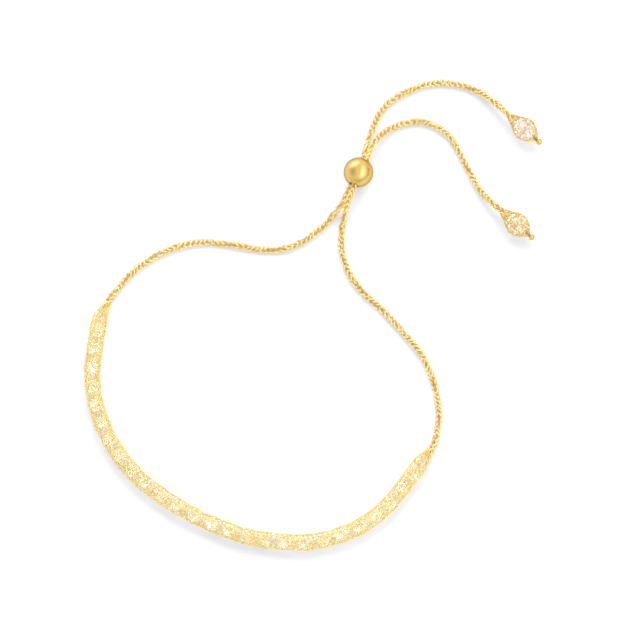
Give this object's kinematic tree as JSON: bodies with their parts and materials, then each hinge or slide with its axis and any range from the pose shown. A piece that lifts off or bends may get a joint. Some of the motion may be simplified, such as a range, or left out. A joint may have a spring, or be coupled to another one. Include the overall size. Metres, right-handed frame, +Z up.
{
  "type": "bolo slider bracelet",
  "caption": "Bolo bracelet lying in a loop: a knitted gold wire sleeve over a row of clear stones, with cords drawn through a ball slider to caged end stones.",
  "frame": {"origin": "centre of the outline's box, on the surface that the bracelet lies on", "axes": "+Z up out of the surface, +X to the right and +Y away from the viewer, as the picture shows it"},
  "size_m": [0.077, 0.081, 0.005],
  "materials": {
    "knitted_gold": "fine knitted wire, bright",
    "polished_gold": "high polish",
    "clear_stone": "clear, faceted",
    "grip_rubber": "matte"
  },
  "bodies": {
    "root": {"sleeve": "knitted_gold", "cord_left": "knitted_gold", "cord_right": "knitted_gold", "slider_ball": "polished_gold", "slider_grip": "grip_rubber", "cage_upper": "knitted_gold", "cage_lower": "knitted_gold", "end_stone_upper": "clear_stone", "end_stone_lower": "clear_stone", "tip_bead_upper": "polished_gold", "tip_bead_lower": "polished_gold", "sleeve_stone_01": "clear_stone", "sleeve_stone_02": "clear_stone", "sleeve_stone_03": "clear_stone", "sleeve_stone_04": "clear_stone", "sleeve_stone_05": "clear_stone", "sleeve_stone_06": "clear_stone", "sleeve_stone_07": "clear_stone", "sleeve_stone_08": "clear_stone", "sleeve_stone_09": "clear_stone", "sleeve_stone_10": "clear_stone", "sleeve_stone_11": "clear_stone", "sleeve_stone_12": "clear_stone", "sleeve_stone_13": "clear_stone", "sleeve_stone_14": "clear_stone", "sleeve_stone_15": "clear_stone", "sleeve_stone_16": "clear_stone", "sleeve_stone_17": "clear_stone", "sleeve_stone_18": "clear_stone", "sleeve_stone_19": "clear_stone", "sleeve_stone_20": "clear_stone", "sleeve_stone_21": "clear_stone", "sleeve_stone_22": "clear_stone", "sleeve_stone_23": "clear_stone", "sleeve_stone_24": "clear_stone", "sleeve_stone_25": "clear_stone", "sleeve_stone_26": "clear_stone"}
  },
  "joints": []
}
